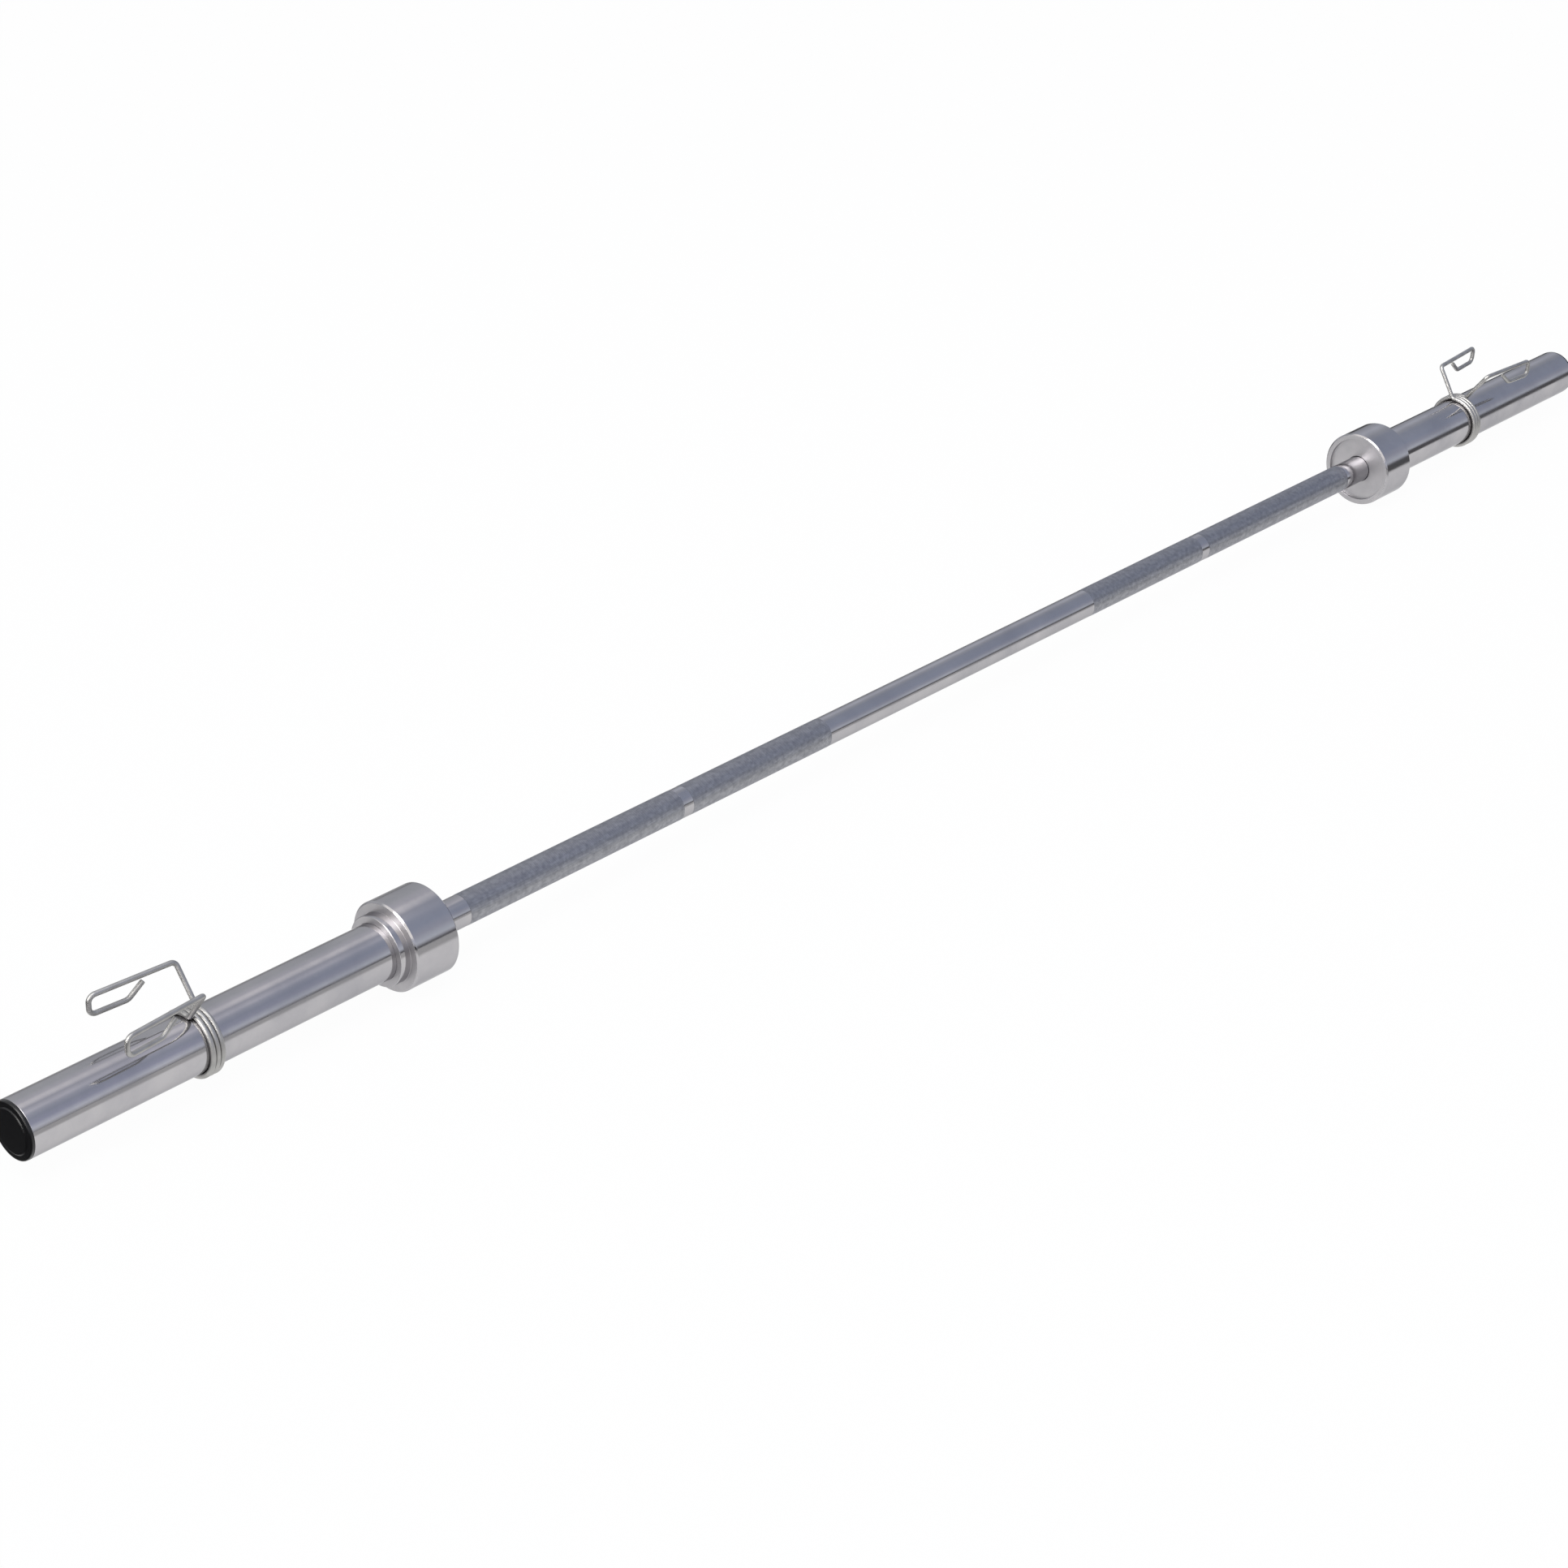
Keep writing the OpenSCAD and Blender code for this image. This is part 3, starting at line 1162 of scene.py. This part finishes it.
@dataclass
class SpringClip:
    """A clip of one length of spring wire: a coil and two looped handles."""

    wire_radius: float = 2.25 * MM
    turns: int = 3
    right_place: float = 886 * MM
    left_place: float = -927 * MM
    turn_degrees: float = -3.5
    coil_radius: float = 27.5 * MM
    coil_pitch: float = 4.6 * MM
    corner_reach: float = 64.5 * MM
    corner_degrees: float = 24.0
    leg_lean: float = 1.5 * MM
    handle_length: float = 78.5 * MM
    handle_flare: float = 5.5 * MM
    handle_rise: float = 2.5 * MM
    loop_width: float = 17 * MM
    return_length: float = 35 * MM
    hook_run: float = 14 * MM
    hook_gap: float = 1 * MM
    bend_radius: float = 4.5 * MM
    loop_bend_radius: float = 6 * MM
    hook_bend_radius: float = 8 * MM
    end_chamfer: float = 0.6 * MM
    sides: int = 20
    steps_per_turn: int = 72
    bend_step: float = math.radians(7.5)
    smooth_angle: float = math.radians(40)

    @property
    def coil_reach(self) -> float:
        """Distance along X from the coil's middle to the wire's at either end."""
        return self.turns * self.coil_pitch / 2

    def coil_end(self, way: Way) -> float:
        """Station, from the coil's middle, at which the coil meets a handle."""
        return -way.value * self.coil_reach

    def start_wire(self, name: str, way: Way) -> Piece:
        """Lays down the wire's round section at a coil's end, facing along Y.

        Args:
            name: The piece's name.
            way: The handle that the coil meets there.

        Returns:
            The piece, which is one circle so far.
        """
        put_down_tools()
        bpy.ops.mesh.primitive_circle_add(
            vertices=self.sides,
            radius=self.wire_radius,
            fill_type="NOTHING",
            location=(self.coil_end(way), 0, self.coil_radius),
            rotation=(math.pi / 2, 0, 0),
        )
        return settle(name)

    def wind_half(self, way: Way) -> Piece:
        """Winds the half of the coil that starts at one handle.

        The halves meet under the bar, where neither turns as the handles are squeezed.

        Args:
            way: The handle whose wire the half starts from.

        Returns:
            The half coil, around the origin.
        """
        piece = self.start_wire(f"right_coil_{way.label}_half", way)
        turns = self.turns / 2
        steps = round(self.steps_per_turn * turns)
        apply_modifier(
            piece,
            "SCREW",
            axis="X",
            angle=way.value * FULL_TURN * turns,
            screw_offset=way.value * self.coil_reach,
            steps=steps,
            render_steps=steps,
            use_smooth_shade=True,
        )
        close_and_face_outwards(piece)
        return piece

    def handle_corners(self, way: Way) -> list[Vector]:
        """Finds the corners of a handle's wire, from the coil to the hooked end.

        Args:
            way: Which of the two handles.

        Returns:
            The corners in order, around the origin.
        """
        lean = way.value * self.corner_degrees
        station = self.coil_end(way)
        foot = around(station, self.coil_radius, 0)
        rise = foot + Vector((0, way.value * self.bend_radius, 0))
        corner = around(station + self.leg_lean, self.corner_reach, lean)
        outward = around(0, 1, lean)
        sideways = way.value * around(0, 1, lean + 90)
        run = Vector((self.handle_length, 0, 0))
        run += sideways * self.handle_flare + outward * self.handle_rise
        run.normalize()
        far_corner = corner + run * self.handle_length
        loop_corner = far_corner - UP * self.loop_width
        hook_start = loop_corner - run * self.return_length
        hook_rise = self.loop_width - 2 * self.wire_radius - self.hook_gap
        hook_end = hook_start - run * self.hook_run + UP * hook_rise
        return [foot, rise, corner, far_corner, loop_corner, hook_start, hook_end]

    def bend_handle(self, way: Way) -> Piece:
        """Bends a handle out of straight runs and round bends.

        Args:
            way: Which of the two handles.

        Returns:
            The handle, around the origin.
        """
        corners = self.handle_corners(way)
        radii = (
            self.bend_radius,
            self.bend_radius,
            self.loop_bend_radius,
            self.loop_bend_radius,
            self.hook_bend_radius,
        )
        piece = self.start_wire(f"right_{way.label}_handle", way)
        here = corners[0]
        with editing(piece):
            for before, corner, after, radius in zip(
                corners, corners[1:], corners[2:], radii
            ):
                arriving = (corner - before).normalized()
                leaving = (after - corner).normalized()
                turn = arriving.angle(leaving)
                shortfall = radius * math.tan(turn / 2)
                extrude(corner - arriving * shortfall - here)
                inward = (leaving - arriving).normalized()
                bpy.ops.mesh.spin(
                    steps=math.ceil(turn / self.bend_step),
                    angle=turn,
                    center=corner + inward * (radius / math.cos(turn / 2)),
                    axis=leaving.cross(arriving).normalized(),
                    dupli=False,
                )
                here = corner + leaving * shortfall
            self.cut_end(here, corners[-1])
        close_and_face_outwards(piece)
        return piece

    def cut_end(self, here: Vector, end: Vector) -> None:
        """Runs the wire to its end and chamfers the cut.

        Args:
            here: Where the last bend let go of the wire.
            end: The wire's end.
        """
        ahead = (end - here).normalized()
        extrude(end - ahead * self.end_chamfer - here)
        extrude(ahead * self.end_chamfer)
        left_over = 1 - self.end_chamfer / self.wire_radius
        bpy.ops.transform.resize(value=(left_over,) * 3, center_override=end)

    def place_on_bar(self, piece: Piece) -> None:
        """Turns a piece to the clip's rest position and slides it out along the bar.

        Args:
            piece: The piece, still around the origin.
        """
        pick_up(piece)
        piece.rotation_euler = (math.radians(-self.turn_degrees), 0, 0)
        piece.location = (self.right_place, 0, 0)
        bpy.ops.object.transform_apply(location=True, rotation=True, scale=True)

    def finish_wire(self, piece: Piece, finishes: Finishes, node: str) -> None:
        """Shades the wire smooth and gives it its material.

        Args:
            piece: The piece to finish.
            finishes: The bar's materials.
            node: The CAD node that the piece replaces.
        """
        pick_up(piece)
        bpy.ops.object.shade_smooth_by_angle(angle=self.smooth_angle)
        dress(piece, finishes.wire, node)

    def build(self, finishes: Finishes) -> list[Piece]:
        """Models, dresses and mounts both clips.

        Args:
            finishes: The bar's materials.

        Returns:
            The pieces of both clips.
        """
        pieces = []
        slide = self.left_place + self.right_place
        for way in Way:
            half = self.wind_half(way)
            handle = self.bend_handle(way)
            for right in (half, handle):
                self.place_on_bar(right)
            copies = {
                Side.RIGHT: (half, handle),
                Side.LEFT: (
                    mirrored_copy(half, f"left_coil_{way.label}_half", slide),
                    mirrored_copy(handle, f"left_{way.label}_handle", slide),
                ),
            }
            for side, (coil, arm) in copies.items():
                self.finish_wire(coil, finishes, side.named("clip_coil"))
                self.finish_wire(arm, finishes, side.named(f"clip_{way.label}_handle"))
                self.mount(side, way, coil, arm)
                pieces += [coil, arm]
        return pieces

    def mount(self, side: Side, way: Way, coil: Piece, arm: Piece) -> None:
        """Makes a handle follow its body, and bakes its half coil's place into the
        coil's mesh.

        Args:
            side: Which end of the bar.
            way: Which of the two handles.
            coil: The half coil.
            arm: The handle.
        """
        arm_body = side.named(f"clip_{way.label}")
        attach(arm, arm_body)
        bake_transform(coil)


# Studio


@dataclass(frozen=True)
class PaperFloor:
    """A white paper floor just under the collars."""

    size: float = 60.0
    drop: float = 40.2 * MM
    white: str = "#f6f6f6"
    # Share of the floor that glows white; the rest takes light and shows the shadow.
    glow: float = 0.965
    # Painted reflection: in mirrored rays only, the white floor gives way to a painted
    # grey between these distances from the bar, and that grey gets darker between these
    # stations towards the right end.
    white_end: float = 0.14
    grey_start: float = 0.225
    grey_share: float = 0.45
    dark_share: float = 0.92
    grey_until: float = 0.45
    dark_from: float = 0.95
    darkest: str = "#2e2e32"
    # Painted reflection: off the left end of the bar the floor is painted dark in
    # mirrored rays only, where only the left cap mirrors it; the camera still sees it
    # white.
    painted_dark_start: float = -1.1
    painted_dark_full: float = -1.108

    def lay(self) -> Piece:
        """Lays the floor.

        Returns:
            The floor.
        """
        put_down_tools()
        bpy.ops.mesh.primitive_plane_add(size=self.size, location=(0, 0, -self.drop))
        floor = settle("studio_floor")
        cover(floor, self.material())
        return floor

    def material(self) -> Material:
        """Makes the paper, white to the eye and shaded only where chrome mirrors it.

        Returns:
            The material.
        """
        material = bpy.data.materials.new("white_paper_sweep")
        add = clear_nodes(material)
        rays = add("LightPath").outputs
        mirrored_dark = add(
            "Math",
            {0: self.darkness(add), 1: rays["Is Glossy Ray"]},
            operation="MULTIPLY",
        )
        shade = add("ValToRGB", {"Fac": mirrored_dark})
        set_ramp(shade, [(0.0, "#ffffff"), (1.0, self.darkest)])
        light = add("Emission", {"Color": shade})
        paper = add("BsdfDiffuse", {"Color": linear(self.white)})
        # Only the rays that carry the background to the eye meet the glow.
        watching = rays["Is Camera Ray"]
        for kind in ("Is Glossy Ray", "Is Transmission Ray"):
            watching = add("Math", {0: watching, 1: rays[kind]}, operation="MAXIMUM")
        share = add("Math", {0: watching, 1: self.glow}, operation="MULTIPLY")
        mixed = add("MixShader", {0: share, 1: paper, 2: light})
        add("OutputMaterial", {"Surface": mixed})
        return material

    def darkness(self, add: AddNode) -> Node:
        """Works out how dark the mirrored floor is at each place.

        Args:
            add: Adds a node to the tree.

        Returns:
            A node that goes from 0, white, to 1, darkest.
        """
        place = add("TexCoord").outputs["Object"]
        parts = add("SeparateXYZ", {"Vector": place}).outputs
        away = add("Math", {0: parts["Y"]}, operation="ABSOLUTE")
        past_white = add(
            "MapRange",
            {"Value": away, "From Min": self.white_end, "From Max": self.grey_start},
            interpolation_type="SMOOTHSTEP",
        )
        grey = add(
            "MapRange",
            {
                "Value": parts["X"],
                "From Min": self.grey_until,
                "From Max": self.dark_from,
                "To Min": self.grey_share,
                "To Max": self.dark_share,
            },
            interpolation_type="SMOOTHSTEP",
        )
        beyond = add("Math", {0: past_white, 1: grey}, operation="MULTIPLY")
        # Painted reflection: past the bar's left end the floor is dark in mirrored rays
        # only.
        edges = {"From Min": self.painted_dark_start, "From Max": self.painted_dark_full}
        left_painted_dark = add("MapRange", {"Value": parts["X"], **edges})
        return add("Math", {0: beyond, 1: left_painted_dark}, operation="MAXIMUM")


@dataclass(frozen=True)
class LightPatch:
    """A bright patch of the room, off the left end of the bar, with soft edges."""

    # Shares of a mirrored ray along X at which the patch starts and is full.
    start: float
    full: float
    # Places over the sweep at which it starts, is full, starts to fade and ends.
    sweep: tuple[float, float, float, float]
    # Brightness, where 1 is white.
    strength: float

    def share(self, add: AddNode, rightwards: Socket, swept: Node) -> Node:
        """Works out how much of the patch a ray meets.

        Args:
            add: Adds a node to the tree.
            rightwards: The output with the ray's share along X.
            swept: The node with the ray's place over the sweep.

        Returns:
            A node that is 1 inside the patch and 0 outside it.
        """
        edges = {"From Min": self.start, "From Max": self.full}
        along = add("MapRange", {"Value": rightwards, **edges})
        over = add("ValToRGB", {"Fac": swept})
        shades = ("#000000", "#ffffff", "#ffffff", "#000000")
        set_ramp(over, list(zip(self.sweep, shades)))
        return add("Math", {0: along, 1: over}, operation="MULTIPLY")


@dataclass(frozen=True)
class Room:
    """The room around the floor, which only the chrome and the wire show."""

    # What they mirror over the sweep from the back horizon, over the top, to the front
    # horizon: near the left end of the bar two soft strips of light above it,
    left_sky: Stops = (
        (0.0, "#c6c8cc"),
        (0.05, "#d3d5d9"),
        (0.22, "#cccfd4"),
        (0.35, "#d9d9e2"),
        (0.4, "#f6f5fa"),
        (0.45, "#f4f3f9"),
        (0.51, "#c3c5d1"),
        (0.6, "#e0e1ed"),
        (0.66, "#c0c4d3"),
        (0.74, "#afb5c7"),
        (0.84, "#b8bcd2"),
        (0.93, "#e5e9f5"),
        (0.965, "#d4d6de"),
        (1.0, "#aeafb4"),
    )
    # and over the rest of the bar an even grey-blue room.
    right_sky: Stops = (
        (0.0, "#b4b6bc"),
        (0.05, "#c6c9d0"),
        (0.22, "#dfe3ee"),
        (0.35, "#bcc0ca"),
        (0.46, "#abb2c3"),
        (0.74, "#acb4c8"),
        (0.84, "#b9bdcd"),
        (0.94, "#d9dfea"),
        (0.965, "#bcbec7"),
        (0.985, "#808186"),
        (1.0, "#55565b"),
    )
    # Overhead, the left sky ends and the right sky begins at these shares of a mirrored
    # ray along X; towards the front the change comes further to the left.
    left_sky_end: float = 0.562
    right_sky_start: float = 0.58
    seam_slant: float = 0.12
    overhead: float = 0.5
    # A tall panel stands off the left end of the bar. Its far part has a narrow, much
    # brighter strip, which the collars' faces and the necks beside them mirror.
    panel: LightPatch = LightPatch(
        start=-0.2, full=-0.3, sweep=(0.2, 0.26, 0.84, 0.9), strength=1.35
    )
    strip: LightPatch = LightPatch(
        start=-0.57, full=-0.7, sweep=(0.37, 0.42, 0.54, 0.59), strength=11.0
    )
    panel_colour: str = "#fffdfa"

    def paint(self) -> None:
        """Paints the room, which is plain white where the camera sees it directly."""
        world = bpy.data.worlds.new("studio_room")
        add = clear_nodes(world)
        rays = add("LightPath").outputs
        direction = add("TexCoord").outputs["Generated"]
        parts = add("SeparateXYZ", {"Vector": direction}).outputs
        turned = add("Math", {0: parts["Z"], 1: parts["Y"]}, operation="ARCTAN2")
        swept = add("MapRange", {"Value": turned, "From Max": math.pi})
        skies = self.mix_skies(add, parts["X"], swept)
        panel = self.light_panel(add, parts["X"], swept, rays["Is Glossy Ray"])
        share = self.panel.share(add, parts["X"], swept)
        room = add("MixShader", {0: share, 1: skies, 2: panel})
        white = add("Background", {"Color": linear("#ffffff")})
        mixed = add("MixShader", {0: rays["Is Camera Ray"], 1: room, 2: white})
        add("OutputWorld", {"Surface": mixed})
        bpy.context.scene.world = world

    def mix_skies(self, add: AddNode, rightwards: Socket, swept: Node) -> Node:
        """Joins the left sky to the right one.

        Args:
            add: Adds a node to the tree.
            rightwards: The output with the ray's share along X.
            swept: The node with the ray's place over the sweep.

        Returns:
            The node with the skies' light.
        """
        skies = []
        for stops in (self.left_sky, self.right_sky):
            shades = add("ValToRGB", {"Fac": swept})
            set_ramp(shades, stops)
            skies.append(add("Background", {"Color": shades}))
        forwards = add("Math", {0: swept, 1: self.overhead}, operation="SUBTRACT")
        slanted = add(
            "Math",
            {0: forwards, 1: self.seam_slant, 2: rightwards},
            operation="MULTIPLY_ADD",
        )
        right_share = add(
            "MapRange",
            {
                "Value": slanted,
                "From Min": self.left_sky_end,
                "From Max": self.right_sky_start,
            },
            interpolation_type="SMOOTHSTEP",
        )
        return add("MixShader", {0: right_share, 1: skies[0], 2: skies[1]})

    def light_panel(
        self, add: AddNode, rightwards: Socket, swept: Node, is_mirrored: Socket
    ) -> Node:
        """Lights the panel, which only mirrored rays meet brighter than white.

        Args:
            add: Adds a node to the tree.
            rightwards: The output with the ray's share along X.
            swept: The node with the ray's place over the sweep.
            is_mirrored: The output that is 1 on mirrored rays.

        Returns:
            The node with the panel's light.
        """
        past_white = add(
            "Math",
            {
                0: self.strip.share(add, rightwards, swept),
                1: self.strip.strength,
                2: self.panel.strength - 1.0,
            },
            operation="MULTIPLY_ADD",
        )
        strength = add(
            "Math", {0: is_mirrored, 1: past_white, 2: 1.0}, operation="MULTIPLY_ADD"
        )
        light = {"Color": linear(self.panel_colour), "Strength": strength}
        return add("Background", light)


@dataclass(frozen=True)
class Studio:
    """Floor, room, lamp and camera, as plain as a catalogue picture's."""

    floor: PaperFloor = PaperFloor()
    room: Room = Room()
    lamp_place: tuple[float, float, float] = (-1.2, -0.6, 3.4)
    lamp_size: float = 2.0
    lamp_power: float = 35.0
    camera_place: tuple[float, float, float] = (-2.254, -1.823, 1.355)
    camera_turn: tuple[float, float, float] = (62.88, 0.0, -47.75)
    lens: float = 76.49
    sensor: float = 36.0

    def hang_lamp(self) -> None:
        """Hangs one large soft lamp overhead, aimed at the middle of the bar."""
        light = bpy.data.lights.new("softbox", "AREA")
        light.shape = "SQUARE"
        light.size = self.lamp_size
        light.energy = self.lamp_power
        lamp = bpy.data.objects.new("softbox", light)
        lamp.location = self.lamp_place
        towards_bar = -Vector(self.lamp_place)
        lamp.rotation_euler = towards_bar.to_track_quat("-Z", "Y").to_euler()
        bpy.context.scene.collection.objects.link(lamp)

    def set_camera(self) -> None:
        """Sets the camera where the photograph's stood."""
        optics = bpy.data.cameras.new("catalogue_camera")
        optics.lens = self.lens
        optics.sensor_width = self.sensor
        camera = bpy.data.objects.new("catalogue_camera", optics)
        camera.location = self.camera_place
        camera.rotation_euler = [math.radians(angle) for angle in self.camera_turn]
        bpy.context.scene.collection.objects.link(camera)
        bpy.context.scene.camera = camera

    def build(self) -> None:
        """Sets up camera, floor, room and lamp."""
        self.set_camera()
        self.floor.lay()
        self.room.paint()
        self.hang_lamp()
        bpy.context.scene.view_settings.view_transform = "Standard"


def main() -> None:
    """Builds the studio and every sub-assembly, and reports each piece."""
    logging.basicConfig(level=logging.INFO, format="%(name)s: %(message)s")
    Studio().build()
    finishes = Finishes()
    for assembly in (Shaft(), Sleeve(), BearingParts(), SpringClip()):
        for piece in assembly.build(finishes):
            log.info(
                "%s: %s with %d faces",
                type(assembly).__name__,
                piece.name,
                len(piece.data.polygons),
            )


if __name__ == "__main__":
    main()
